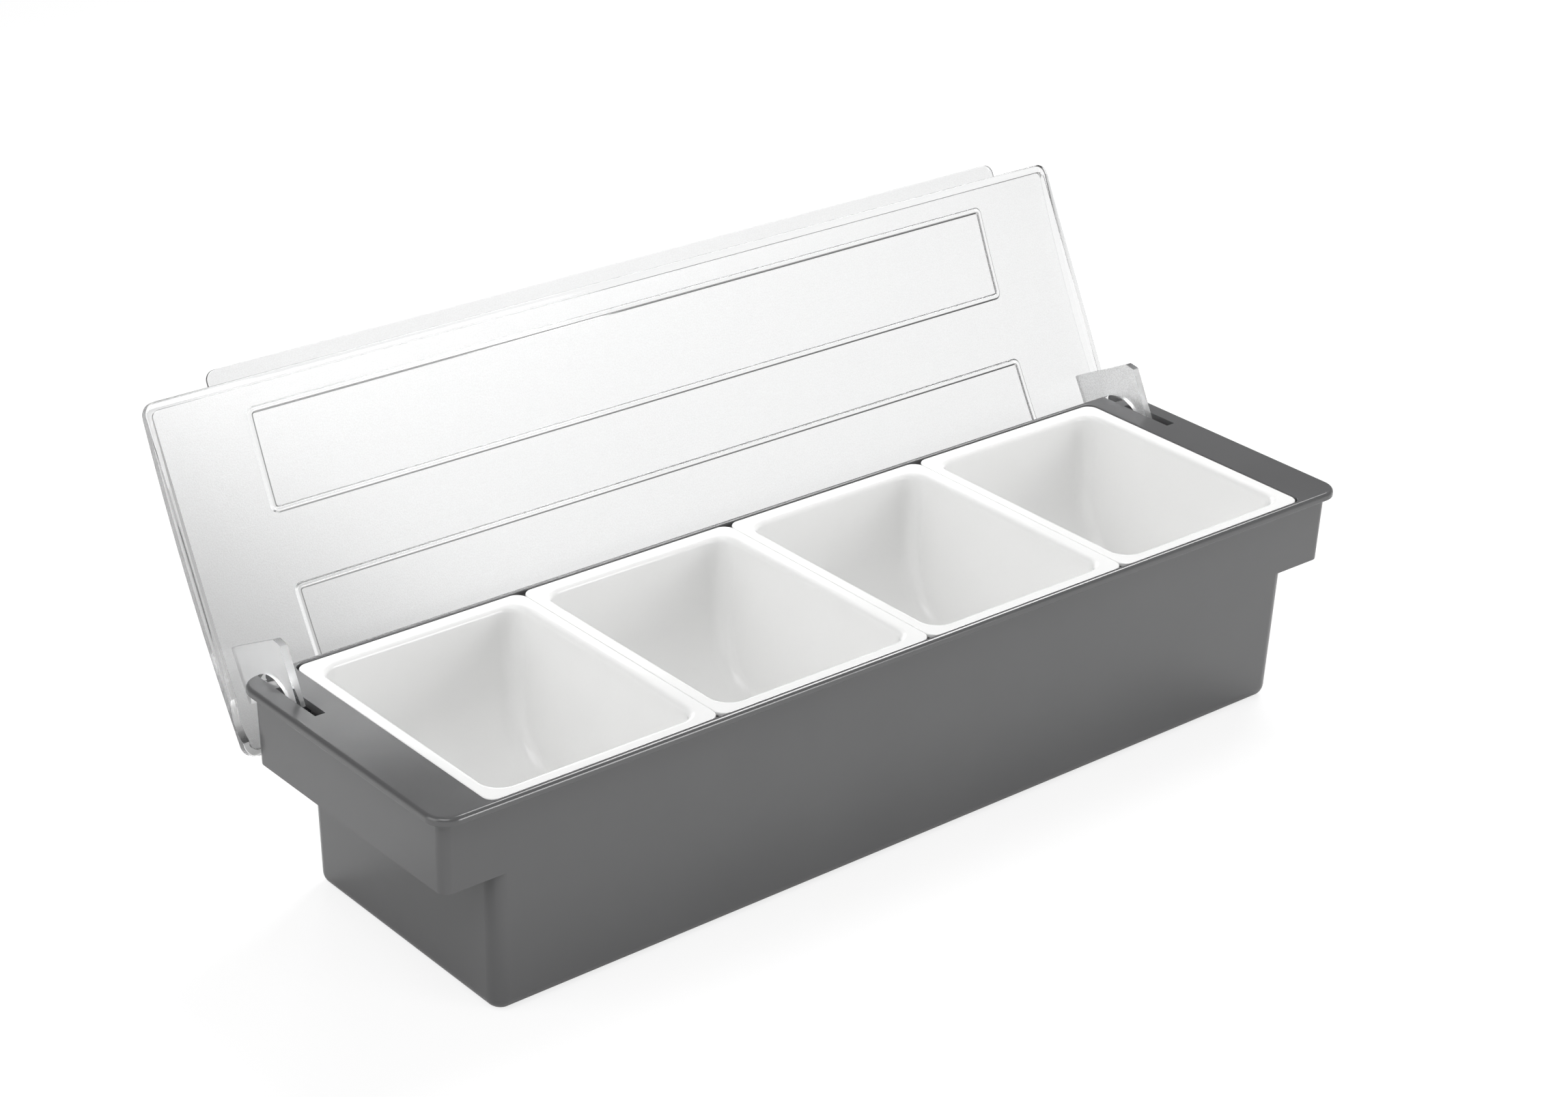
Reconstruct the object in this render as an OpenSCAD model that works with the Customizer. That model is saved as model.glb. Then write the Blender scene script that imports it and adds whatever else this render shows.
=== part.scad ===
// Condiment caddy: a long moulded housing, four lift-out inserts that hang in its rim,
// and one crowned clear lid that swings back on two moulded hooks.
// X runs along the length, Y to the rear, Z up. The origin is the centre of the base.
// The lid is modelled shut, then turned open about its hinge line until it rests on its stop.

/* [Overall size] */
// Length over the rim
caddy_length = 495; // [420:1:600]
// Depth over the rim, front to rear
caddy_depth = 142; // [118:1:172]
// Height from the table to the top of the rim
caddy_height = 100; // [88:1:130]

/* [Housing] */
// Draft of the moulded walls, in degrees
draft = 1.4; // [0.8:0.1:2]
// Thickness of the upright walls
wall_t = 2.0; // [1.6:0.1:2.6]
// Thickness of the floor
floor_t = 3.0; // [2:0.1:5]
// Distance from each end of the rim in to the end wall of the tub
end_overhang = 26.9; // [25:0.1:34]
// Plan radius of the tub's upright corners
tub_corner_r = 9.5; // [7:0.5:14]
// Radius between the tub's walls and its underside
base_edge_r = 4.5; // [2:0.5:8]
// Height of the skirt that hangs below the rim at both ends, from the rim's top
skirt_h = 35.8; // [30:0.1:44]
// Plan radius of the skirt's corners
skirt_corner_r = 8.0; // [6:0.5:12]

/* [Rim] */
// Thickness of the rim's lip
lip_t = 3.6; // [3:0.1:4.4]
// How far the lip stands out from the front and rear walls
lip_over_side = 6.0; // [5:0.1:7.2]
// How far the lip stands out from the end skirts
lip_over_end = 5.0; // [3:0.1:7]
// Plan radius of the rim's corners
rim_corner_r = 10; // [8:0.5:16]
// Radius on the rim's upper edge
rim_edge_r = 1.8; // [1.2:0.1:2.4]
// Depth of the step that the inserts hang in
seat_depth = 2.3; // [1.6:0.1:3]
// Width of the step at both ends
seat_end = 4.4; // [3:0.1:6]
// Width of the step along the front and the rear
seat_side = 5.0; // [3.5:0.1:6]
// Plan radius of the step's corners
seat_corner_r = 4; // [2:0.5:6]

/* [Inserts] */
// Height of an insert over its rim
insert_h = 76; // [60:1:80]
// Thickness of an insert's walls and floor
insert_t = 1.6; // [1.2:0.1:2.4]
// Thickness of an insert's rim
insert_rim_t = 1.8; // [1.4:0.1:2.2]
// Taper of an insert's walls, in degrees
insert_taper = 1.5; // [0.8:0.1:3]
// Sweep of an insert's front and rear walls into its floor, a scoop-like radius
scoop_r = 40; // [20:1:44]
// Radius of an insert's side walls into its floor
insert_side_r = 13; // [6:1:24]
// Plan radius of an insert's body corners
insert_corner_r = 10; // [6:0.5:14]
// Plan radius of an insert's rim corners
insert_rim_r = 9; // [5:0.5:12]
// Radius on an insert's rim edge
insert_edge_r = 0.7; // [0.3:0.1:0.9]
// Clearance between an insert's rim and the step it hangs in
seat_gap = 0.3; // [0.2:0.1:0.8]
// Clearance between neighbouring inserts
insert_gap = 0.4; // [0.3:0.1:1]
// Clearance between an insert's body and the tub's opening
body_gap = 0.6; // [0.4:0.1:1.2]

/* [Lid] */
// Clearance under the shut lid
lid_gap = 0.3; // [0.2:0.1:0.6]
// How far the shut lid stands out in front of the rim
lid_front_over = 0.85; // [0.5:0.05:2]
// How far the shut lid stands out behind the rim
lid_rear_over = 4.85; // [4.5:0.05:6]
// Height of the lid's edge
lid_edge_h = 3.8; // [3.6:0.1:5]
// Slope of the crowned plate at its front and rear edges, in degrees
crown_slope = 6.05; // [5.5:0.05:8]
// Thickness of the lid's plate
plate_t = 1.8; // [1.4:0.1:2]
// Plan radius of the lid's corners
lid_corner_r = 9; // [6:0.5:14]
// Width of the lip that runs under the lid's ends and rear
lid_lip = 3.0; // [2:0.1:3.4]
// Width of the lip under the lid's front edge
lid_lip_front = 3.7; // [2.5:0.1:5]
// How far the finger tab stands out in front of the lid
tab_out = 6.3; // [4:0.1:12]
// Distance from each end of the lid to the finger tab
tab_inset = 31.5; // [20:0.5:60]
// Plan radius of the tab's outer corners
tab_corner_r = 4.5; // [2:0.5:6]
// Distance from each end of the lid to its rib frames
rib_inset = 44.5; // [36:0.5:80]
// Distance from the lid's front edge to the front rib frame
rib_front = 11.9; // [8:0.1:20]
// Depth of the front rib frame, front to rear
rib_frame_d = 44.8; // [30:0.1:50]
// Flat band between the two rib frames
rib_band = 29.4; // [16:0.1:40]
// Distance of the rear rib frame's rear edge in front of the hinge line
rib_hinge_gap = 5.7; // [5.4:0.1:12]
// Width of a rib
rib_w = 3.0; // [1.5:0.1:5]
// How far a rib stands down from the plate
rib_h = 1.0; // [0.5:0.1:1.4]
// Plan radius of a rib frame's corners
rib_corner_r = 3.5; // [3.2:0.1:8]

/* [Hinge] */
// Distance of the hinge line in front of the rim's rear edge
hinge_inset = 11.0; // [10.8:0.1:12]
// Distance of the hinge line below the rim's top
hinge_drop = 13.1; // [12.5:0.1:13.5]
// Clearance between the open lid and the wall that stops it
stop_gap = 0.3; // [0.2:0.1:0.8]
// Distance from each end of the lid to the middle of its hook
hook_inset = 11.2; // [10.5:0.1:12]
// Thickness of a hook
hook_t = 3.4; // [2.4:0.1:4.4]
// Distance of a hook's front edge from the hinge line
hook_front = 28.8; // [24:0.1:30]
// Radius about the hinge line that the hook stays inside
hook_reach_r = 34; // [31:0.5:34.5]
// Radius of the hook's throat about the hinge line
throat_r = 16.2; // [15.9:0.1:16.4]
// Distance in front of the hinge line at which the hook's root ends
root_end = 4.8; // [3:0.1:8]
// Height of the hook's tip above the skirt's lower edge
hook_lift = 0.4; // [0.2:0.1:2]
// Clearance between the hook's toe and the skirt
toe_gap = 0.6; // [0.4:0.1:1.5]
// Clearance on each side of a hook in its slot
slot_gap = 0.7; // [0.3:0.1:0.8]
// Clearance in front of a hook in its slot
slot_end_gap = 0.4; // [0.3:0.1:2]
// Distance in front of the hinge line at which the slot ends and the bridge begins
bridge_front = 4.3; // [3.5:0.1:5]
// Length of the bridge's level top
bridge_flat = 5.1; // [3:0.1:6]
// Width of the open gap behind the bridge's ramp
notch_open = 1.0; // [0.6:0.1:2]

/* [Hidden] */
insert_count = 4;
corner_steps = 7;
arc_steps = 5;
scoop_steps = 9;
round_fn = 96;
// A crown is a very large circle, of which a few degrees are used
crown_fn = 1440;
// Overlap that lets a cut pass cleanly through a face
cut = 1;

housing_colour = "#55565a";
insert_colour = "#f6f6f4";
lid_colour = [0.86, 0.89, 0.91, 0.45];

// Heights of the housing
lip_z = caddy_height - lip_t;
skirt_z = caddy_height - skirt_h;
seat_z = caddy_height - seat_depth;
join_z = caddy_height - lip_t / 2;
// The tub and the skirts share one front face and one rear face between these heights
skirt_heights = [skirt_z, lip_z, join_z];

// Plan sizes of the housing just under the lip
wall_d = caddy_depth - 2 * lip_over_side;
tub_l = caddy_length - 2 * end_overhang;
skirt_l = caddy_length - 2 * lip_over_end;
opening_l = tub_l - 2 * wall_t;
opening_d = wall_d - 2 * wall_t;
seat_l = opening_l + 2 * seat_end;
seat_d = opening_d + 2 * seat_side;

// Plan sizes of an insert
insert_d = seat_d - 2 * seat_gap;
insert_l = (seat_l - 2 * seat_gap - (insert_count - 1) * insert_gap) / insert_count;
insert_pitch = insert_l + insert_gap;
flange = max(seat_side, seat_end) - seat_gap + body_gap;
body_l = insert_l - 2 * flange;
body_d = insert_d - 2 * flange;

// The hinge line, and the angle at which the lid's rear edge comes to rest on the rear wall
hinge_y = caddy_depth / 2 - hinge_inset;
hinge_z = caddy_height - hinge_drop;
lid_z = caddy_height + lid_gap;
lid_l = caddy_length;
lid_d = caddy_depth + lid_front_over + lid_rear_over;
lid_mid = (lid_rear_over - lid_front_over) / 2;
edge_back = lid_mid + lid_d / 2 - hinge_y;
edge_up = lid_z - hinge_z;
edge_radius = norm([edge_back, edge_up]);
wall_line = (drafted(wall_d, hinge_z) / 2 + stop_gap - hinge_y) * cos(draft);
open_angle = atan2(edge_up, edge_back) + acos(wall_line / edge_radius) + draft;

// The crown's circle
crown_r = lid_d / 2 / sin(crown_slope);
crown_z = lid_z + lid_edge_h - crown_r * cos(crown_slope);

// The hook's slot and toe
hook_x = caddy_length / 2 - hook_inset;
hook_bottom = skirt_z + hook_lift;
slot_w = hook_t + 2 * slot_gap;
slot_front = hinge_y - sqrt(pow(hook_reach_r, 2) - pow(lip_z - hinge_z, 2)) - slot_end_gap;
slot_rear = hinge_y - bridge_front;
toe_y = skirt_inside_y(hook_x + hook_t / 2, hook_bottom) - toe_gap;

// A plan size of a drafted wall at height z, from its size just under the lip
function drafted(size, z) = size - 2 * tan(draft) * (lip_z - z);

// How far back the inside of the skirt reaches at x, round its corner
function skirt_inside_y(x, z) = let (
        r = skirt_corner_r - wall_t,
        past = max(0, x - drafted(skirt_l, z) / 2 + wall_t + r)
    ) drafted(wall_d, z) / 2 - wall_t - r + sqrt(r * r - past * past);

// The points of a rounded rectangle at height z
function ring(l, d, r, z) = [
    for (q = [0:3], i = [0:corner_steps])
        let (
            a = 90 * (q + i / corner_steps),
            side_x = (q == 0 || q == 3) ? 1 : -1,
            side_y = q < 2 ? 1 : -1
        )
        [side_x * (l / 2 - r) + r * cos(a), side_y * (d / 2 - r) + r * sin(a), z]
];

// A closed skin over a stack of rings, up the outside and, for a shell, down the inside
module loft(rings) {
    n = len(rings[0]);
    last = len(rings) - 1;
    points = [for (r = rings) each r];
    sides = [
        for (k = [0:last - 1], i = [0:n - 1])
            let (j = (i + 1) % n)
            [k * n + i, (k + 1) * n + i, (k + 1) * n + j, k * n + j]
    ];
    first_cap = [for (i = [0:n - 1]) i];
    last_cap = [for (i = [n - 1:-1:0]) last * n + i];
    polyhedron(points, concat([first_cap], sides, [last_cap]), convexity = 6);
}

// A flat rounded rectangle
module rounded_plan(l, d, r) {
    square([l - 2 * r, d], center = true);
    square([l, d - 2 * r], center = true);
    for (x = [-1, 1], y = [-1, 1])
        translate([x * (l / 2 - r), y * (d / 2 - r)])
            circle(r, $fn = round_fn);
}

// A drafted wall's ring at height z, drawn in by some amount
function wall_ring(l, d, r, z, inset = 0) =
    ring(drafted(l, z) - 2 * inset, drafted(d, z) - 2 * inset, r - inset, z);

// Rings of a drafted tub from its rounded lower edge up through some heights
function tub_rings(l, d, r, edge_r, low, heights) = concat(
    [for (i = [0:arc_steps])
        let (a = 90 * i / arc_steps)
        wall_ring(l, d, r, low + edge_r * (1 - cos(a)), edge_r * (1 - sin(a)))],
    [for (z = heights) wall_ring(l, d, r, z)]
);

module rim_slab() {
    loft(concat(
        [ring(caddy_length, caddy_depth, rim_corner_r, lip_z)],
        [for (i = [0:arc_steps])
            let (
                a = 90 * i / arc_steps,
                inset = rim_edge_r * (1 - cos(a)),
                z = caddy_height - rim_edge_r * (1 - sin(a))
            )
            ring(caddy_length - 2 * inset, caddy_depth - 2 * inset, rim_corner_r - inset, z)]
    ));
}

module skirt() {
    difference() {
        loft([for (z = skirt_heights) wall_ring(skirt_l, wall_d, skirt_corner_r, z)]);
        loft([
            wall_ring(skirt_l, wall_d, skirt_corner_r, skirt_z - cut, wall_t),
            wall_ring(skirt_l, wall_d, skirt_corner_r, lip_z, wall_t)
        ]);
    }
}

module tub_outside() {
    loft(tub_rings(tub_l, wall_d, tub_corner_r, base_edge_r, 0, skirt_heights));
}

module tub_inside() {
    loft(tub_rings(
        opening_l, opening_d, tub_corner_r - wall_t, base_edge_r, floor_t, [caddy_height + cut]
    ));
}

// The step that the inserts' rims hang in
module seat() {
    translate([0, 0, seat_z])
        linear_extrude(seat_depth + cut)
            rounded_plan(seat_l, seat_d, seat_corner_r);
}

// A slot for one hook, and behind its bridge a ramp down to an open gap in the rim
module hook_slot() {
    translate([hook_x - slot_w / 2, slot_front, lip_z - cut])
        cube([slot_w, slot_rear - slot_front, lip_t + 2 * cut]);
    ramp_front = slot_rear + bridge_flat;
    ramp_rear = caddy_depth / 2 - notch_open;
    translate([hook_x - slot_w / 2, 0, 0])
        rotate([90, 0, 90])
            linear_extrude(slot_w)
                polygon([
                    [ramp_front, caddy_height],
                    [ramp_front, caddy_height + cut],
                    [caddy_depth / 2 + cut, caddy_height + cut],
                    [caddy_depth / 2 + cut, lip_z - cut],
                    [ramp_rear, lip_z - cut],
                    [ramp_rear, lip_z]
                ]);
}

module housing() {
    color(housing_colour)
        difference() {
            union() {
                rim_slab();
                skirt();
                tub_outside();
            }
            tub_inside();
            seat();
            hook_slot();
            mirror([1, 0, 0])
                hook_slot();
        }
}

// A ring of an insert's body at height h over its lowest point, for a body of that height
// whose walls taper and sweep into its floor
function body_ring(l, d, corner_r, side_r, end_r, height, h) = let (
        lean = tan(insert_taper) * (height - h),
        sweep_x = h < side_r ? side_r - sqrt(h * (2 * side_r - h)) : 0,
        sweep_y = h < end_r ? end_r - sqrt(h * (2 * end_r - h)) : 0
    ) ring(l - 2 * (lean + sweep_x), d - 2 * (lean + sweep_y), corner_r - lean, h);

function scoop_heights(r) = [for (i = [0:scoop_steps]) r * (1 - cos(90 * i / scoop_steps))];

function raised(rings, z) = [for (r = rings) [for (p = r) p + [0, 0, z]]];

function reversed(list) = [for (i = [len(list) - 1:-1:0]) list[i]];

// One insert's skin: up the outside, round the rim, and down the inside
module insert() {
    top = seat_z + insert_rim_t;
    low = top - insert_h;
    outer_h = insert_h - insert_rim_t;
    inner_h = insert_h - insert_t;
    outside = [
        for (h = concat(scoop_heights(scoop_r), [outer_h]))
            body_ring(body_l, body_d, insert_corner_r, insert_side_r, scoop_r, outer_h, h)
    ];
    inside = [
        for (h = concat(scoop_heights(scoop_r - insert_t), [inner_h]))
            body_ring(
                body_l - 2 * insert_t, body_d - 2 * insert_t, insert_corner_r - insert_t,
                insert_side_r - insert_t, scoop_r - insert_t, inner_h, h
            )
    ];
    rim = concat(
        [ring(insert_l, insert_d, insert_rim_r, seat_z)],
        [for (a = [0:45:90])
            let (inset = insert_edge_r * (1 - cos(a)))
            ring(
                insert_l - 2 * inset, insert_d - 2 * inset, insert_rim_r - inset,
                top - insert_edge_r * (1 - sin(a))
            )]
    );
    color(insert_colour)
        loft(concat(raised(outside, low), rim, reversed(raised(inside, low + insert_t))));
}

// Puts an insert in its place, counted from the left
module in_place(number) {
    translate([(number - (insert_count + 1) / 2) * insert_pitch, 0, 0])
        insert();
}

// Everything under the crown's arc, lowered by some depth
module under_crown(depth) {
    translate([0, lid_mid, crown_z])
        rotate([0, 90, 0])
            cylinder(r = crown_r - depth, h = lid_l + 2 * cut, center = true, $fn = crown_fn);
}

module lid_shell() {
    difference() {
        intersection() {
            translate([0, lid_mid, lid_z])
                linear_extrude(3 * lid_edge_h)
                    rounded_plan(lid_l, lid_d, lid_corner_r);
            under_crown(0);
        }
        intersection() {
            translate([0, lid_mid + (lid_lip_front - lid_lip) / 2, lid_z - cut])
                linear_extrude(3 * lid_edge_h)
                    rounded_plan(
                        lid_l - 2 * lid_lip, lid_d - lid_lip - lid_lip_front, lid_corner_r - lid_lip
                    );
            under_crown(plate_t);
        }
        for (x = [-1, 1])
            translate([x * lid_l / 2, hinge_y, hinge_z])
                rotate([0, 90, 0])
                    cylinder(r = throat_r, h = 2 * (lid_lip + cut), center = true, $fn = round_fn);
    }
}

// One raised frame on the underside of the plate, between its front and rear edges
module rib_frame(front, rear) {
    frame_l = lid_l - 2 * rib_inset;
    frame_d = rear - front;
    difference() {
        intersection() {
            translate([0, front + frame_d / 2, lid_z])
                linear_extrude(3 * lid_edge_h)
                    difference() {
                        rounded_plan(frame_l, frame_d, rib_corner_r);
                        rounded_plan(
                            frame_l - 2 * rib_w, frame_d - 2 * rib_w,
                            max(rib_corner_r - rib_w, rib_w / 4)
                        );
                    }
            under_crown(plate_t / 2);
        }
        under_crown(plate_t + rib_h);
    }
}

// The finger tab along the lid's front edge
module tab() {
    front = lid_mid - lid_d / 2;
    tab_l = lid_l - 2 * tab_inset;
    tab_d = 2 * tab_out;
    translate([0, front, lid_z + lid_edge_h - plate_t])
        linear_extrude(plate_t)
            difference() {
                rounded_plan(tab_l, tab_d, tab_corner_r);
                translate([-tab_l, lid_lip_front / 2])
                    square([2 * tab_l, tab_d]);
            }
}

// A flat C-shaped hook: its throat is round about the hinge line, its toe points to the rear
module hook() {
    translate([hook_x - hook_t / 2, 0, 0])
        rotate([90, 0, 90])
            linear_extrude(hook_t)
                difference() {
                    intersection() {
                        translate([hinge_y - hook_front, hook_bottom])
                            square([hook_front - hinge_y + toe_y, lid_z + 2 * lid_edge_h]);
                        translate([hinge_y, hinge_z])
                            circle(hook_reach_r, $fn = 2 * round_fn);
                        translate([lid_mid, crown_z])
                            circle(crown_r - plate_t / 2, $fn = crown_fn);
                    }
                    translate([hinge_y, hinge_z])
                        circle(throat_r, $fn = round_fn);
                    translate([hinge_y - root_end, hinge_z])
                        square([hook_reach_r, hook_reach_r]);
                }
}

module lid_shut() {
    first_rib = lid_mid - lid_d / 2 + rib_front;
    lid_shell();
    rib_frame(first_rib, first_rib + rib_frame_d);
    rib_frame(first_rib + rib_frame_d + rib_band, hinge_y - rib_hinge_gap);
    tab();
    hook();
    mirror([1, 0, 0])
        hook();
}

module lid() {
    color(lid_colour)
        translate([0, hinge_y, hinge_z])
            rotate([-open_angle, 0, 0])
                translate([0, -hinge_y, -hinge_z])
                    lid_shut();
}

housing();
in_place(1);  // insert_1
in_place(2);  // insert_2
in_place(3);  // insert_3
in_place(4);  // insert_4
lid();
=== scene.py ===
import math

import bmesh
import bpy
from mathutils import Matrix, Vector


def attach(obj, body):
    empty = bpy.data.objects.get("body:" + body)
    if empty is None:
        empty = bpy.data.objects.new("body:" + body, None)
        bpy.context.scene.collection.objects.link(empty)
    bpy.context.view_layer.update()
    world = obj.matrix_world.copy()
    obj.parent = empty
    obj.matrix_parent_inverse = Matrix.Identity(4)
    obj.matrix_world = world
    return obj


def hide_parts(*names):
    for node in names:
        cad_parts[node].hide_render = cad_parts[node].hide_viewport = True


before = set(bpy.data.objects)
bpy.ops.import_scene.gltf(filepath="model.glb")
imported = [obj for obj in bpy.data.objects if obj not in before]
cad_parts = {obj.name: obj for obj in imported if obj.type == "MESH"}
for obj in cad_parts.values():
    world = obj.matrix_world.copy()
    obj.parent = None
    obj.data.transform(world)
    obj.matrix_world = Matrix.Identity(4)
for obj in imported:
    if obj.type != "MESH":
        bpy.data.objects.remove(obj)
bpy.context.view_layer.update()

# The housing: one moulding in charcoal plastic. A tub, a lip all round with a step for the
# inserts, and at each end a skirt, open below, that fingers lift the caddy by. Sizes here and
# below are in millimetres, with the origin in the middle of the underside.
DRAFT = math.radians(1.4)
RIM_Z = 100
LIP_Z = 96.4
SKIRT_Z = 64.2
SEAT_Z = 97.7
FLOOR_Z = 3
RIM = 495, 142, 10
SKIRT = 487, 132.3, 4.5
TUB = 441.2, 132.3, 7
BASE_R = 6
SEAT = 446, 136, 4
WELL = 437.2, 128.3, 7.5
WALL = 2
LIP_EDGE_R = 0.5
RIM_EDGE_R = 1.8
SEAT_EDGE_R = 0.4
WELL_R = 4.5
CORNER_STEPS = 12


class Moulding:
    """A closed shape drawn up in steps from one rounded rectangle."""

    def __init__(self, plan, height):
        self.mesh = bmesh.new()
        self.plan = plan
        self.height = height
        length, depth, radius = plan
        bmesh.ops.create_grid(self.mesh, x_segments=1, y_segments=1, size=0.5)
        corners = self.mesh.verts[:]
        bmesh.ops.scale(self.mesh, vec=(length, depth, 1), verts=corners)
        bmesh.ops.translate(self.mesh, vec=(0, 0, height), verts=corners)
        bmesh.ops.bevel(
            self.mesh, geom=corners, offset=radius, offset_type="OFFSET",
            segments=CORNER_STEPS, profile=0.5, affect="VERTICES", material=-1,
        )
        self.face = self.mesh.faces[:][0]
        self.started = False

    def to(self, plan, height):
        """Draws the last face out to another rounded rectangle."""
        drawn = bmesh.ops.extrude_face_region(self.mesh, geom=[self.face])["geom"]
        if self.started:
            bmesh.ops.delete(self.mesh, geom=[self.face], context="FACES_ONLY")
        self.started = True
        self.face = [part for part in drawn if isinstance(part, bmesh.types.BMFace)][0]
        length, depth, radius = plan
        old_length, old_depth, old_radius = self.plan
        grown = radius / old_radius
        for x in (-1, 1):
            for y in (-1, 1):
                quarter = [v for v in self.face.verts if v.co.x * x > 0 and v.co.y * y > 0]
                old = Vector((
                    x * (old_length / 2 - old_radius), y * (old_depth / 2 - old_radius), 0
                ))
                new = Vector((
                    x * (length / 2 - radius), y * (depth / 2 - radius), height - self.height
                ))
                bmesh.ops.scale(
                    self.mesh, vec=(grown, grown, 1), verts=quarter,
                    space=Matrix.Translation(-old),
                )
                bmesh.ops.translate(self.mesh, vec=new - old, verts=quarter)
        self.plan = plan
        self.height = height

    def closed(self):
        """The finished mesh, with its faces outwards."""
        bmesh.ops.recalc_face_normals(self.mesh, faces=self.mesh.faces[:])
        return self.mesh


def drawn_in(plan, inset):
    """A rounded rectangle moved in all round."""
    length, depth, radius = plan
    return length - 2 * inset, depth - 2 * inset, radius - inset


def drafted(plan, height, inset=0):
    """A drafted wall's outline at some height, moved in."""
    length, depth, radius = plan
    lean = math.tan(DRAFT) * (LIP_Z - height)
    least_radius = 0.5
    return (
        length - 2 * lean - 2 * inset, depth - 2 * lean - 2 * inset,
        max(radius - inset, least_radius),
    )


def quarter_turn(radius, steps):
    """Steps round a quarter circle: how far along and how far up each one is."""
    turns = [math.pi / 2 * step / steps for step in range(steps + 1)]
    return [(radius * math.sin(turn), radius * (1 - math.cos(turn))) for turn in turns]


def box(low, high):
    """A plain closed block between two corners."""
    mesh = bmesh.new()
    bmesh.ops.create_cube(mesh, size=1)
    size = Vector(high) - Vector(low)
    bmesh.ops.scale(mesh, vec=size, verts=mesh.verts[:])
    bmesh.ops.translate(mesh, vec=Vector(low) + size / 2, verts=mesh.verts[:])
    return mesh


def combined(first, second, operation):
    """The union, difference or overlap of two closed meshes, exactly."""
    pieces = []
    for mesh in (first, second):
        data = bpy.data.meshes.new("work")
        mesh.to_mesh(data)
        mesh.free()
        piece = bpy.data.objects.new("work", data)
        bpy.context.collection.objects.link(piece)
        pieces.append(piece)
    step = pieces[0].modifiers.new("work", "BOOLEAN")
    step.operation = operation
    step.solver = "EXACT"
    step.object = pieces[1]
    result = bmesh.new()
    result.from_object(pieces[0], bpy.context.evaluated_depsgraph_get())
    for piece in pieces:
        bpy.data.meshes.remove(piece.data)
    merged = 0.001
    bmesh.ops.remove_doubles(result, verts=result.verts[:], dist=merged)
    bmesh.ops.dissolve_degenerate(result, edges=result.edges[:], dist=merged)
    return result


MM = 0.001
SHARP_FROM = math.radians(50)
BEVEL_FROM = math.radians(38)


def finished(name, mesh, materials, bevel=0):
    """Makes a piece of a mesh in millimetres, with its edges softened."""
    bmesh.ops.scale(mesh, vec=(MM, MM, MM), verts=mesh.verts[:])
    for face in mesh.faces:
        face.smooth = True
    for edge in mesh.edges:
        edge.smooth = bool(bevel) or edge.calc_face_angle(0) < SHARP_FROM
    data = bpy.data.meshes.new(name)
    mesh.to_mesh(data)
    mesh.free()
    piece = bpy.data.objects.new(name, data)
    bpy.context.collection.objects.link(piece)
    for material in materials:
        piece.data.materials.append(material)
    if bevel:
        soft = piece.modifiers.new("softened edges", "BEVEL")
        soft.width = bevel * MM
        soft.segments = 3
        soft.limit_method = "ANGLE"
        soft.angle_limit = BEVEL_FROM
        soft.use_clamp_overlap = True
        soft.harden_normals = False
    even = piece.modifiers.new("even shading", "WEIGHTED_NORMAL")
    even.weight = 50
    even.keep_sharp = not bevel
    return piece


class Finish:
    """A material's node tree and one socket in it. Sums on the socket add Math nodes."""

    def __init__(self, tree, socket=None):
        self.tree = tree
        self.socket = socket

    def node(self, kind, settings=(), inputs=(), output=0):
        """Adds a node: its type, its settings, and its sockets' values or links."""
        made = self.tree.nodes.new(kind)
        for name, value in dict(settings).items():
            setattr(made, name, value)
        for name, value in dict(inputs).items():
            if isinstance(value, Finish):
                self.tree.links.new(value.socket, made.inputs[name])
            else:
                made.inputs[name].default_value = value
        return Finish(self.tree, made.outputs[output] if len(made.outputs) else None)

    def maths(self, operation, first, second):
        """Adds a Math node on two sockets or numbers."""
        return self.node("ShaderNodeMath", {"operation": operation}, {0: first, 1: second})

    def __add__(self, other):
        return self.maths("ADD", self, other)

    def __rsub__(self, other):
        return self.maths("SUBTRACT", other, self)

    def __mul__(self, other):
        return self.maths("MULTIPLY", self, other)

    __radd__ = __add__
    __rmul__ = __mul__


def new_finish(name):
    """An empty material and the start of its nodes."""
    material = bpy.data.materials.new(name)
    material.use_nodes = True
    material.node_tree.nodes.clear()
    return material, Finish(material.node_tree)


def grey(level):
    """A neutral colour."""
    return level, level, level, 1


def charcoal_plastic():
    """Satin charcoal: an even colour, with the fine grain of a spark-finished mould."""
    material, finish = new_finish("charcoal_plastic")
    place = finish.node("ShaderNodeTexCoord", output="Object")
    grain = finish.node("ShaderNodeTexNoise", {}, {
        "Vector": place, "Scale": 2600, "Detail": 2, "Roughness": 0.6,
    })
    cloud = finish.node("ShaderNodeTexNoise", {}, {
        "Vector": place, "Scale": 14, "Detail": 3, "Roughness": 0.55,
    })
    colour = finish.node("ShaderNodeMix", {"data_type": "RGBA"}, {
        0: cloud, 6: (0.096, 0.096, 0.098, 1), 7: (0.112, 0.112, 0.114, 1),
    }, output=2)
    relief = finish.node("ShaderNodeBump", {}, {
        "Strength": 0.15, "Distance": 0.00001, "Height": grain,
    })
    shader = finish.node("ShaderNodeBsdfPrincipled", {}, {
        "Base Color": colour, "Roughness": 0.15 + 0.08 * cloud, "IOR": 1.6, "Normal": relief,
    })
    finish.node("ShaderNodeOutputMaterial", {}, {"Surface": shader})
    return material


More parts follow.
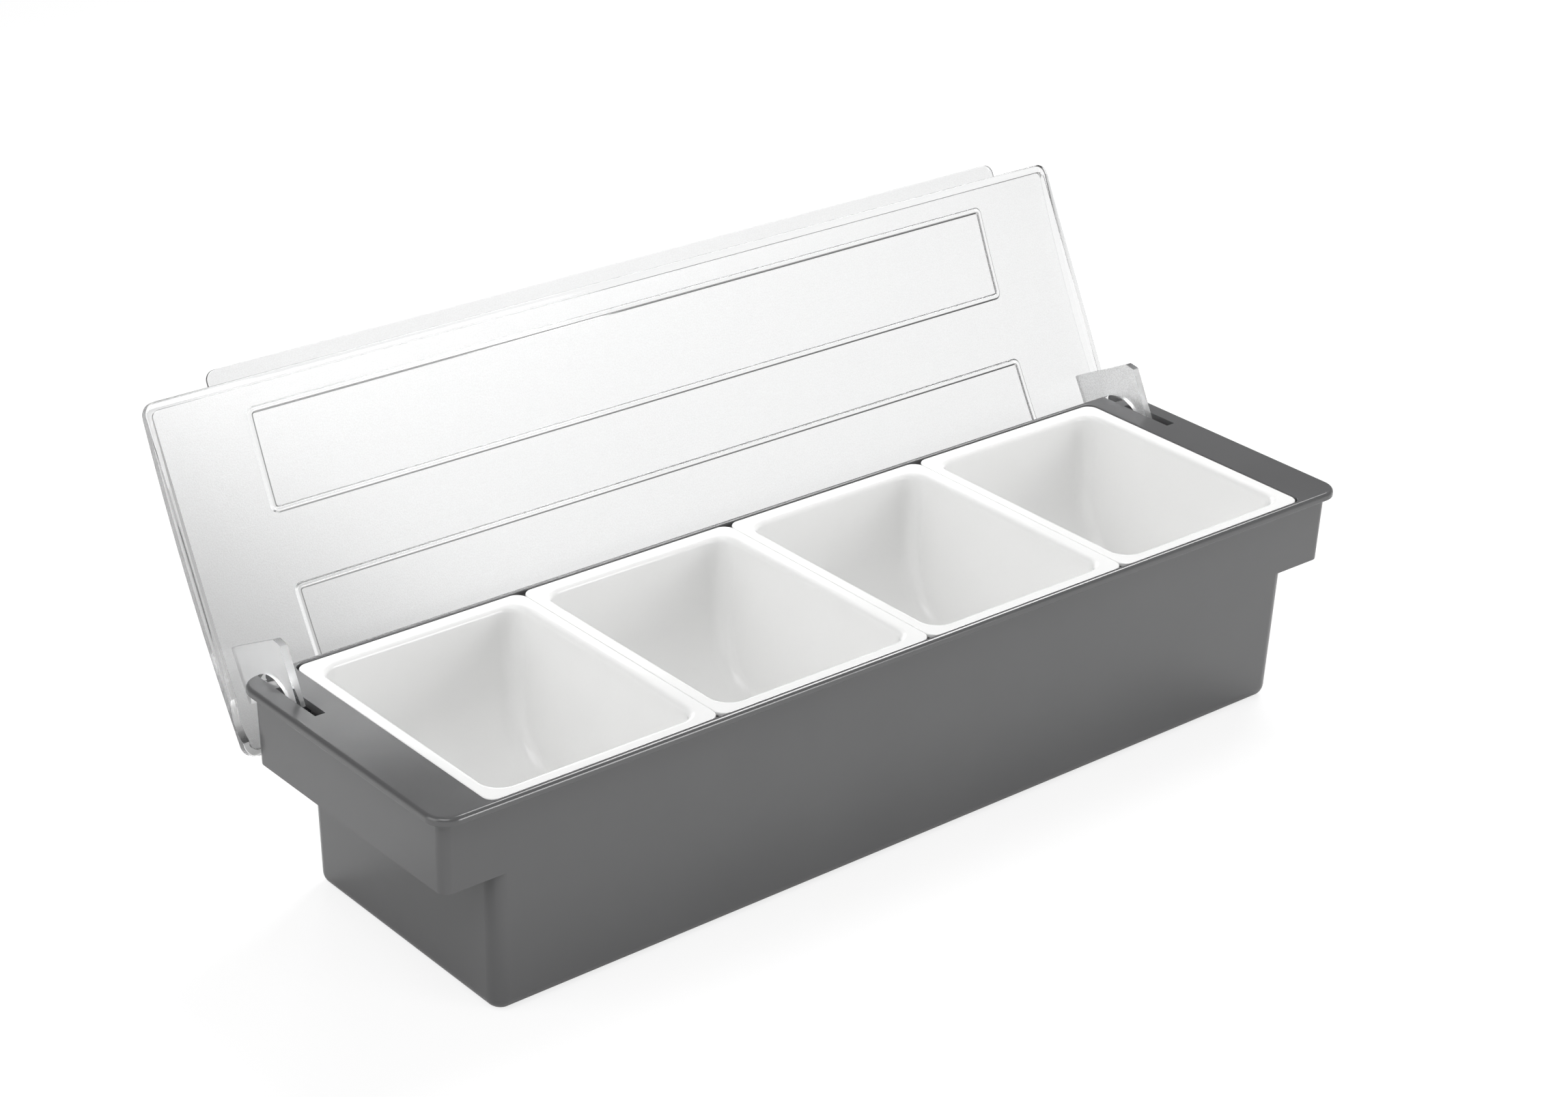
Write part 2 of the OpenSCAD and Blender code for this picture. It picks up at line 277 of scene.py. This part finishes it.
tub_solid = Moulding(drafted(SKIRT, 0, BASE_R), 0)
for along, up in quarter_turn(BASE_R, 8)[1:]:
    tub_solid.to(drafted(SKIRT, up, BASE_R - along), up)
tub_solid.to(drafted(SKIRT, LIP_Z), LIP_Z)
for along, up in quarter_turn(LIP_EDGE_R, 3):
    tub_solid.to(drawn_in(RIM, LIP_EDGE_R - along), LIP_Z + up)
for along, up in reversed(quarter_turn(RIM_EDGE_R, 6)):
    tub_solid.to(drawn_in(RIM, RIM_EDGE_R - along), RIM_Z - up)
for along, up in quarter_turn(SEAT_EDGE_R, 3):
    tub_solid.to(drawn_in(SEAT, along - SEAT_EDGE_R), RIM_Z - up)
tub_solid.to(SEAT, SEAT_Z)
for along, up in quarter_turn(SEAT_EDGE_R, 3):
    tub_solid.to(drafted(WELL, SEAT_Z - up, along - SEAT_EDGE_R), SEAT_Z - up)
for along, up in reversed(quarter_turn(WELL_R, 6)):
    tub_solid.to(drafted(WELL, FLOOR_Z + up, WELL_R - along), FLOOR_Z + up)

# The space under the skirts and inside them, all round the tub, is cut out of the solid. The
# tub's outline in it is a hair wider and lower than the solid's, so that no two faces meet.
grip = Moulding(drafted(SKIRT, SKIRT_Z - 2, WALL), SKIRT_Z - 2)
grip.to(drafted(SKIRT, LIP_Z, WALL), LIP_Z)
below = box((-260, -80, -5), (-205, 80, SKIRT_Z))
below = combined(below, box((205, -80, -5), (260, 80, SKIRT_Z)), "UNION")
hollow = combined(below, grip.closed(), "UNION")
HAIR = 0.02
tub_outside = Moulding(drafted(TUB, 0, BASE_R - HAIR), -HAIR)
for along, up in quarter_turn(BASE_R, 8)[1:]:
    tub_outside.to(drafted(TUB, up, BASE_R - HAIR - along), up - HAIR)
inside_lip_z = 99
tub_outside.to(drafted(TUB, inside_lip_z, -HAIR), inside_lip_z)
hollow = combined(hollow, tub_outside.closed(), "DIFFERENCE")
housing_mesh = combined(tub_solid.closed(), hollow, "DIFFERENCE")

# In each end, a slot for one of the lid's hooks, and behind its bridge a ramp down to a gap.
SLOT_NEAR = 233.9
SLOT_FAR = 238.7
SLOT_FRONT = 26.954
SLOT_REAR = 55.7
RAMP_TOP = 60.8
RAMP_FOOT = 70
for side in (-1, 1):
    low, high = sorted((side * SLOT_NEAR, side * SLOT_FAR))
    slot = box((low, SLOT_FRONT, LIP_Z - 2), (high, SLOT_REAR, RIM_Z + 2))
    housing_mesh = combined(housing_mesh, slot, "DIFFERENCE")
    notch = box((low, RAMP_TOP, LIP_Z - 1), (high, RAMP_FOOT + 2, RIM_Z + 1))
    bmesh.ops.bisect_plane(
        notch, geom=notch.verts[:] + notch.edges[:] + notch.faces[:], dist=0.0001,
        plane_co=(0, RAMP_TOP, RIM_Z), plane_no=(0, LIP_Z - RIM_Z, RAMP_TOP - RAMP_FOOT),
        clear_outer=True,
    )
    bmesh.ops.holes_fill(notch, edges=notch.edges[:])
    bmesh.ops.recalc_face_normals(notch, faces=notch.faces[:])
    housing_mesh = combined(housing_mesh, notch, "DIFFERENCE")
    gap = box((low, RAMP_FOOT, LIP_Z - 1), (high, RAMP_FOOT + 2, LIP_Z + 1))
    housing_mesh = combined(housing_mesh, gap, "DIFFERENCE")

housing = finished("housing_moulding", housing_mesh, [charcoal_plastic()], bevel=0.35)
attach(housing, "housing")
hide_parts("housing")

# The inserts: four identical white mouldings that hang by their rims in the housing's step.
# Their walls taper; the front and rear ones sweep into the floor on a large radius.
INSERT_RIM = 111.25, 135.4, 5.5
INSERT_BODY = 100.45, 124.8, 10
INSERT_TOP = 99.5
INSERT_LOW = 23.5
INSERT_T = 1.6
SIDE_R = 13
SCOOP_R = 40
INSERT_UNDER_R = 0.3
INSERT_OUTER_R = 0.4
INSERT_INNER_R = 3.0
PITCH = 111.45
TAPER = math.radians(1.5)


def insert_ring(shift, height, top):
    """The outline of an insert's body, some height over its lowest point."""
    side_r = SIDE_R - shift
    scoop_r = SCOOP_R - shift
    length, depth, radius = drawn_in(INSERT_BODY, shift)
    lean = math.tan(TAPER) * (top - height)
    along = lean
    across = lean
    if height < side_r:
        along += side_r - math.sqrt(height * (2 * side_r - height))
    if height < scoop_r:
        across += scoop_r - math.sqrt(height * (2 * scoop_r - height))
    return length - 2 * along, depth - 2 * across, radius - lean


def insert_mesh():
    """One insert, drawn up the outside, round its rim and down the inside."""
    outer_h = SEAT_Z - INSERT_LOW
    inner_h = INSERT_TOP - INSERT_LOW - INSERT_T
    outside = [up for along, up in quarter_turn(SCOOP_R, 24)]
    inside = [up for along, up in quarter_turn(SCOOP_R - INSERT_T, 24)]
    body = Moulding(insert_ring(0, 0, outer_h), INSERT_LOW)
    for up in outside[1:] + [outer_h]:
        body.to(insert_ring(0, up, outer_h), INSERT_LOW + up)
    for along, up in quarter_turn(INSERT_UNDER_R, 2):
        body.to(drawn_in(INSERT_RIM, INSERT_UNDER_R - along), SEAT_Z + up)
    for along, up in reversed(quarter_turn(INSERT_OUTER_R, 4)):
        body.to(drawn_in(INSERT_RIM, INSERT_OUTER_R - along), INSERT_TOP - up)
    start = insert_ring(INSERT_T, inner_h, inner_h)
    for along, up in quarter_turn(INSERT_INNER_R, 8):
        body.to(drawn_in(start, along - INSERT_INNER_R), INSERT_TOP - up)
    for up in reversed(inside):
        body.to(insert_ring(INSERT_T, up, inner_h), INSERT_LOW + INSERT_T + up)
    return body.closed()


def white_plastic():
    """White gloss plastic, a little uneven in its gloss."""
    material, finish = new_finish("white_plastic")
    place = finish.node("ShaderNodeTexCoord", output="Object")
    cloud = finish.node("ShaderNodeTexNoise", {}, {
        "Vector": place, "Scale": 30, "Detail": 3, "Roughness": 0.5,
    })
    colour = finish.node("ShaderNodeMix", {"data_type": "RGBA"}, {
        0: cloud, 6: (0.86, 0.86, 0.855, 1), 7: (0.89, 0.89, 0.885, 1),
    }, output=2)
    ripple = finish.node("ShaderNodeTexNoise", {}, {
        "Vector": place, "Scale": 120, "Detail": 1, "Roughness": 0.4,
    })
    relief = finish.node("ShaderNodeBump", {}, {
        "Strength": 0.2, "Distance": 0.00003, "Height": ripple,
    })
    shader = finish.node("ShaderNodeBsdfPrincipled", {}, {
        "Base Color": colour, "Roughness": 0.12 + 0.06 * cloud, "IOR": 1.5, "Normal": relief,
    })
    finish.node("ShaderNodeOutputMaterial", {}, {"Surface": shader})
    return material


insert_finish = white_plastic()
middle_number = 2.5
for number in (1, 2, 3, 4):
    mesh = insert_mesh()
    shift = (number - middle_number) * PITCH
    bmesh.ops.translate(mesh, vec=(shift, 0, 0), verts=mesh.verts[:])
    insert = finished(f"white_insert_{number}", mesh, [insert_finish])
    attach(insert, f"insert_{number}")
    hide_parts(f"insert_{number}")

# The lid: one clear moulding, crowned from front to rear, with a lip under its edge, two rib
# frames, a finger tab and two flat hooks. It is made flat and shut, crowned, and then turned
# open about the line through the round throats of its hooks.
HINGE = Vector((0, 60, 86.9))
OPEN = math.radians(-117.484)
LID_Z = 100.3
LID = 495, 147.7, 5.5
LID_MID = 2
EDGE_H = 3.8
PLATE = 1.8
UNDERSIDE_Z = LID_Z + EDGE_H - PLATE
LIP_W = 3
FRONT_LIP_W = 3.7
LIP_FLAT = 0.8
CROWN_R = 700.69
CROWN_HALF_TURN = math.radians(6.05)
CROWN_Z = LID_Z + EDGE_H - CROWN_R * math.cos(CROWN_HALF_TURN)
RIB_W = 3
RIB_H = 1
RIB_SLOPE = 0.8
RIB_R = 3.5
RIB_INNER_R = 0.8
RIB_FROM_END = 44.5
RIB_FROM_FRONT = 11.9
RIB_BEFORE_HINGE = 5.7
FRAME_DEPTH = 44.8
FRAME_GAP = 29.4
TAB = 432, 12.6, 4.5


def slab(plan, low, high, middle, edge=0):
    """A flat block with rounded corners, and a small radius on its upper edge."""
    block = Moulding(plan, low)
    for along, up in reversed(quarter_turn(edge, 4)) if edge else [(0, 0)]:
        block.to(drawn_in(plan, edge - along if edge else 0), high - up)
    mesh = block.closed()
    bmesh.ops.translate(mesh, vec=(0, middle, 0), verts=mesh.verts[:])
    return mesh


def rib_frame(front, rear):
    """One raised frame on the plate's underside, lying flat."""
    middle = (front + rear) / 2
    plan = LID[0] - 2 * RIB_FROM_END, rear - front, RIB_R
    inner = plan[0] - 2 * RIB_W, plan[1] - 2 * RIB_W, RIB_INNER_R
    into_plate = 0.6
    ring = Moulding(drawn_in(plan, RIB_SLOPE), UNDERSIDE_Z - RIB_H)
    ring.to(plan, UNDERSIDE_Z)
    ring.to(plan, UNDERSIDE_Z + into_plate)
    core = Moulding(drawn_in(inner, -2 * RIB_SLOPE), UNDERSIDE_Z - 2 * RIB_H)
    core.to(inner, UNDERSIDE_Z)
    core.to(inner, UNDERSIDE_Z + 2)
    frame_mesh = combined(ring.closed(), core.closed(), "DIFFERENCE")
    bmesh.ops.translate(frame_mesh, vec=(0, middle, 0), verts=frame_mesh.verts[:])
    return frame_mesh


front_edge = LID_MID - LID[1] / 2
lid_mesh = slab(LID, LID_Z, LID_Z + EDGE_H, LID_MID, edge=0.9)
inside = LID[0] - 2 * LIP_W, LID[1] - LIP_W - FRONT_LIP_W, 3
inside_mid = LID_MID + (FRONT_LIP_W - LIP_W) / 2
lid_mesh = combined(lid_mesh, slab(inside, LID_Z - 5, UNDERSIDE_Z, inside_mid), "DIFFERENCE")
front_frame = front_edge + RIB_FROM_FRONT
rear_frame = front_frame + FRAME_DEPTH + FRAME_GAP
lid_mesh = combined(lid_mesh, rib_frame(front_frame, front_frame + FRAME_DEPTH), "UNION")
lid_mesh = combined(lid_mesh, rib_frame(rear_frame, HINGE.y - RIB_BEFORE_HINGE), "UNION")
tab = slab(TAB, UNDERSIDE_Z, LID_Z + EDGE_H, front_edge, edge=0.5)
front_half = box((-230, front_edge - 20, 90), (230, front_edge + FRONT_LIP_W / 2, 110))
tab = combined(tab, front_half, "INTERSECT")
lid_mesh = combined(lid_mesh, tab, "UNION")

# The lid's material slots: the pebbled underside, the ribs and lip as they leave the mould, with
# painted shade on their edges seen edge-on, and later the hooks' flat sides. What is left is
# polished.
PEBBLED, MOULDED_EDGE_SHADED, FROSTED = 1, 2, 3
FLAT_FROM = 0.9
TOP_EDGE_Z = 103.5
POLISHED_FROM_X = 240
for face in lid_mesh.faces:
    centre = face.calc_center_median()
    on_plate = abs(centre.z - UNDERSIDE_Z) < 0.1
    below_top = face.normal.z < FLAT_FROM or centre.z < TOP_EDGE_Z
    if face.normal.z < -FLAT_FROM and on_plate:
        face.material_index = PEBBLED
    elif abs(centre.x) < POLISHED_FROM_X and below_top:
        face.material_index = MOULDED_EDGE_SHADED

HOLLOW_EDGE_R = 0.3
OUTER_EDGE_R = 0.4
ROUNDED_FROM = math.radians(40)
for convex, radius in ((False, HOLLOW_EDGE_R), (True, OUTER_EDGE_R)):
    sharp = [
        edge for edge in lid_mesh.edges
        if edge.calc_face_angle(0) > ROUNDED_FROM and edge.is_convex == convex
    ]
    bmesh.ops.bevel(
        lid_mesh, geom=sharp, offset=radius, offset_type="OFFSET", segments=3, profile=0.5,
        affect="EDGES", material=-1, clamp_overlap=True,
    )

# Cuts every 2 mm from front to rear let the plate take its crown, and cuts every 24 mm along it
# keep its triangles short. The lip's lower edge stays flat.
cuts = [((0, front_edge + 2 * step, 0), (0, 1, 0)) for step in range(1, 74)]
cuts += [((24 * step, 0, 0), (1, 0, 0)) for step in range(-9, 10)]
for point, square_to in cuts:
    everything = lid_mesh.verts[:] + lid_mesh.edges[:] + lid_mesh.faces[:]
    bmesh.ops.bisect_plane(
        lid_mesh, geom=everything, dist=0.0001, plane_co=point, plane_no=square_to,
    )
for vert in lid_mesh.verts:
    share = min(1, max(0, (vert.co.z - LID_Z) / LIP_FLAT))
    rise = CROWN_Z + math.sqrt(CROWN_R ** 2 - (vert.co.y - LID_MID) ** 2)
    vert.co.z += share * max(0, rise - LID_Z - EDGE_H)


def disc(radius, thickness, middle):
    """A closed disc across the lid, standing on the hinge line."""
    mesh = bmesh.new()
    bmesh.ops.create_cone(
        mesh, cap_ends=True, segments=96, radius1=radius, radius2=radius, depth=thickness,
    )
    bmesh.ops.rotate(mesh, matrix=Matrix.Rotation(math.pi / 2, 3, "Y"), verts=mesh.verts[:])
    bmesh.ops.translate(mesh, vec=(middle, HINGE.y, HINGE.z), verts=mesh.verts[:])
    return mesh


HOOK_X = 236.3
HOOK_T = 3.4
HOOK_R = 34
HOOK_REACH = 28.8
HOOK_LOW_Z = 64.6
HOOK_HIGH_Z = 105.75
HOOK_REAR = 59.83
THROAT_R = 16.2
MOUTH_REACH = 4.8
for side in (-1, 1):
    lid_mesh = combined(lid_mesh, disc(THROAT_R, 8, side * LID[0] / 2), "DIFFERENCE")
    middle = side * HOOK_X
    low = middle - HOOK_T / 2 - 1
    high = middle + HOOK_T / 2 + 1
    hook = disc(HOOK_R, HOOK_T, middle)
    reach = box((low, HINGE.y - HOOK_REACH, HOOK_LOW_Z), (high, HOOK_REAR, HOOK_HIGH_Z))
    hook = combined(hook, reach, "INTERSECT")
    hook = combined(hook, disc(THROAT_R, 8, middle), "DIFFERENCE")
    mouth = box((low, HINGE.y - MOUTH_REACH, HINGE.z), (high, HINGE.y + 40, HINGE.z + 40))
    hook = combined(hook, mouth, "DIFFERENCE")
    lid_mesh = combined(lid_mesh, hook, "UNION")
for face in lid_mesh.faces:
    centre = face.calc_center_median()
    if centre.z < LID_Z - 0.3 and abs(abs(centre.x) - HOOK_X) < HOOK_T:
        face.material_index = FROSTED if abs(face.normal.x) > FLAT_FROM else MOULDED_EDGE_SHADED

bmesh.ops.rotate(
    lid_mesh, cent=HINGE, matrix=Matrix.Rotation(OPEN, 3, "X"), verts=lid_mesh.verts[:]
)


def clear_plastic(name, roughness, relief_height, edge_shade_grey=0.985, grain_grey=0.985, clearness=1):
    """Clear plastic, with the pebble of an etched mould.

    The pebble's low spots take one grey, and a surface seen along itself takes another: a painted
    shade that draws dark lines along edges seen edge-on.
    """
    material, finish = new_finish(name)
    place = finish.node("ShaderNodeTexCoord", output="Object")
    pebble = finish.node("ShaderNodeTexNoise", {}, {
        "Vector": place, "Scale": 1900, "Detail": 1, "Roughness": 0.4,
    })
    relief = finish.node("ShaderNodeBump", {}, {
        "Strength": 1.0, "Distance": relief_height, "Height": pebble,
    })
    # Seen edge-on, the colour goes to the edge grey: painted shade that draws dark lines along
    # the ribs and edges.
    edgeways = finish.node("ShaderNodeLayerWeight", {}, {"Blend": 0.5}, output="Facing")
    painted_edge_shade = finish.node("ShaderNodeMapRange", {"interpolation_type": "SMOOTHSTEP"}, {
        "Value": edgeways, "From Min": 0.25, "From Max": 0.6,
    })
    dimple = finish.node("ShaderNodeMapRange", {}, {
        "Value": pebble, "From Min": 0.35, "From Max": 0.65,
    })
    grain = finish.node("ShaderNodeMix", {"data_type": "RGBA"}, {
        0: dimple, 6: (0.985, 0.99, 0.99, 1), 7: grey(grain_grey),
    }, output=2)
    colour = finish.node("ShaderNodeMix", {"data_type": "RGBA"}, {
        0: painted_edge_shade, 6: grain, 7: grey(edge_shade_grey),
    }, output=2)
    shader = finish.node("ShaderNodeBsdfPrincipled", {}, {
        "Base Color": colour, "Roughness": roughness + 0.04 * pebble, "IOR": 1.49,
        "Transmission Weight": clearness, "Normal": relief,
    })
    lamp_ray = finish.node("ShaderNodeLightPath", output="Is Shadow Ray")
    open_way = finish.node("ShaderNodeBsdfTransparent", {}, {"Color": (0.94, 0.945, 0.95, 1)})
    both = finish.node("ShaderNodeMixShader", {}, {0: lamp_ray, 1: shader, 2: open_way})
    finish.node("ShaderNodeOutputMaterial", {}, {"Surface": both})
    return material


lid = finished("clear_lid", lid_mesh, [
    clear_plastic("polished_clear", 0.03, 0.000003),
    clear_plastic("pebbled_clear", 0.35, 0.00006, grain_grey=0.88),
    # The ribs' and lip's material: a moulded finish with painted shade, its edges seen edge-on
    # going near black.
    clear_plastic("moulded_clear_painted_edge_shade", 0.06, 0.000003, edge_shade_grey=0.06),
    clear_plastic("frosted_clear", 0.35, 0.00002, grain_grey=0.6, clearness=0.78),
])
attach(lid, "lid")
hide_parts("lid")

# The floor and the room: a plain pale floor under a white room, in metres. The camera sees both
# white, and the floor keeps the object's shadow. Seen through the clear lid, the floor has
# painted
# shade: it is darker close behind the object, towards the left and far off.
FLOOR_HALF = 12
FLOOR_GLOW = 0.79
MIRRORED_GLOW = 0.06
ground = bmesh.new()
bmesh.ops.create_grid(ground, x_segments=1, y_segments=1, size=FLOOR_HALF)
floor_data = bpy.data.meshes.new("floor")
ground.to_mesh(floor_data)
ground.free()
floor = bpy.data.objects.new("floor", floor_data)
bpy.context.collection.objects.link(floor)

floor_material, paint = new_finish("pale_floor")
camera_ray = paint.node("ShaderNodeLightPath", output="Is Camera Ray")
gloss_ray = paint.node("ShaderNodeLightPath", output="Is Glossy Ray")
clear_ray = paint.node("ShaderNodeLightPath", output="Is Transmission Ray")
place = paint.node("ShaderNodeTexCoord", output="Object")
along = paint.node("ShaderNodeSeparateXYZ", {}, {0: place}, output="X")
across = paint.node("ShaderNodeSeparateXYZ", {}, {0: place}, output="Y")
sideways = paint.node("ShaderNodeMapRange", {"interpolation_type": "SMOOTHSTEP"}, {
    "Value": along, "From Min": -0.16, "From Max": 0.02, "To Min": 0.45, "To Max": 0.84,
})
away = paint.node("ShaderNodeVectorMath", {"operation": "LENGTH"}, {0: place}, output="Value")
far = paint.node("ShaderNodeMapRange", {"interpolation_type": "SMOOTHSTEP"}, {
    "Value": away, "From Min": 0.9, "From Max": 2.0, "To Min": 1.0, "To Max": 0.4,
})
behind = paint.node("ShaderNodeMapRange", {"interpolation_type": "SMOOTHSTEP"}, {
    "Value": paint.maths("ABSOLUTE", across, 0.0), "From Min": 0.13, "From Max": 0.22,
    "To Min": 0.1, "To Max": 1.0,
})
seen_direct = paint.maths("MAXIMUM", camera_ray, clear_ray)
mirrored = gloss_ray * (1 - clear_ray)
# Painted shade on the floor, only for rays through the clear lid: darker towards the left, close
# behind the object and far off.
painted_shade_factor = 1 - clear_ray * (1 - sideways * behind * far)
body = paint.node("ShaderNodeMix", {"data_type": "RGBA"}, {
    0: seen_direct, 6: grey(0.8), 7: grey(0.28),
}, output=2)
painted_shade_colour = paint.node("ShaderNodeMix", {"data_type": "RGBA"}, {
    0: painted_shade_factor, 6: grey(0.03), 7: body,
}, output=2)
outer = paint.node("ShaderNodeMapRange", {"interpolation_type": "SMOOTHSTEP"}, {
    "Value": away, "From Min": 1.5, "From Max": 3.5, "To Min": 0.0, "To Max": 0.2,
})
matt = paint.node("ShaderNodeBsdfDiffuse", {}, {"Color": painted_shade_colour})
glow = paint.node("ShaderNodeEmission", {}, {
    "Color": grey(1),
    "Strength": (
        (FLOOR_GLOW * seen_direct + camera_ray * outer) * painted_shade_factor + MIRRORED_GLOW * mirrored
    ),
})
both = paint.node("ShaderNodeAddShader", {}, {0: matt, 1: glow})
paint.node("ShaderNodeOutputMaterial", {}, {"Surface": both})
floor.data.materials.append(floor_material)

# The camera sees the room white. Reflections and the clear lid find it white at the horizon and
# dark overhead, as under a dark ceiling.
world = bpy.data.worlds.new("white_room")
world.use_nodes = True
world.node_tree.nodes.clear()
bpy.context.scene.world = world
AMBIENT = 0.22
room = Finish(world.node_tree)
camera_ray = room.node("ShaderNodeLightPath", output="Is Camera Ray")
gloss_ray = room.node("ShaderNodeLightPath", output="Is Glossy Ray")
clear_ray = room.node("ShaderNodeLightPath", output="Is Transmission Ray")
bent_ray = room.maths("MAXIMUM", gloss_ray, clear_ray)
direction = room.node("ShaderNodeTexCoord", output="Generated")
rise = room.node("ShaderNodeSeparateXYZ", {}, {0: direction}, output="Z")
ceiling = room.node("ShaderNodeMapRange", {}, {
    "Value": rise, "From Min": 0.0, "From Max": 0.25, "To Min": 0.9, "To Max": 0.1,
})
lit = AMBIENT * (1 - room.maths("MAXIMUM", camera_ray, bent_ray))
background = room.node("ShaderNodeBackground", {}, {
    "Color": grey(1), "Strength": lit + camera_ray + bent_ray * ceiling,
})
room.node("ShaderNodeOutputWorld", {}, {"Surface": background})


# Five soft lamps. The key and high lamps light the tops, the left and front ones the walls, and
# the small one behind makes the highlight that fades along the left end of the rim.
def soft_lamp(name, place, aim, width, power):
    """A square softbox."""
    data = bpy.data.lights.new(name, "AREA")
    data.shape = "SQUARE"
    data.size = width
    data.energy = power
    lamp = bpy.data.objects.new(name, data)
    bpy.context.collection.objects.link(lamp)
    lamp.location = place
    lamp.rotation_euler = (Vector(aim) - Vector(place)).to_track_quat("-Z", "Y").to_euler()


soft_lamp("key_lamp", (0.9, 0.4, 1.3), (0, 0, 0.05), 0.7, 18)
soft_lamp("back_lamp", (0.37, 0.95, 0.47), (-0.1, 0, 0.1), 0.3, 1.7)
soft_lamp("left_lamp", (-1.65, 0.2, 0.85), (0, 0, 0.05), 1.3, 10.5)
soft_lamp("front_lamp", (0.7, -1.7, 0.3), (0, 0, 0.05), 0.8, 15)
soft_lamp("high_lamp", (-0.9, -0.6, 1.6), (0, 0, 0.05), 1.0, 10)

# The camera, at the photograph's viewing angle: to the left of the front and above, on a long
# lens, and turned a little about its own axis.
YAW = 0.7056
PITCH_DOWN = 0.4498
ROLL = 0.0273
CAMERA_PLACE = -0.84607, -0.96480, 0.73279
LENS = 77.198
SENSOR_WIDTH = 36
away = Vector((
    math.sin(YAW) * math.cos(PITCH_DOWN), math.cos(YAW) * math.cos(PITCH_DOWN),
    -math.sin(PITCH_DOWN),
))
level_right = away.cross((0, 0, 1)).normalized()
level_up = level_right.cross(away)
right = math.cos(ROLL) * level_right + math.sin(ROLL) * level_up
up = math.cos(ROLL) * level_up - math.sin(ROLL) * level_right
camera_data = bpy.data.cameras.new("camera")
camera_data.lens = LENS
camera_data.sensor_width = SENSOR_WIDTH
camera = bpy.data.objects.new("camera", camera_data)
bpy.context.collection.objects.link(camera)
camera.matrix_world = (
    Matrix.Translation(CAMERA_PLACE)
    @ Matrix((right, up, -away)).transposed().to_4x4()
)
bpy.context.scene.camera = camera
bpy.context.scene.view_settings.view_transform = "Standard"
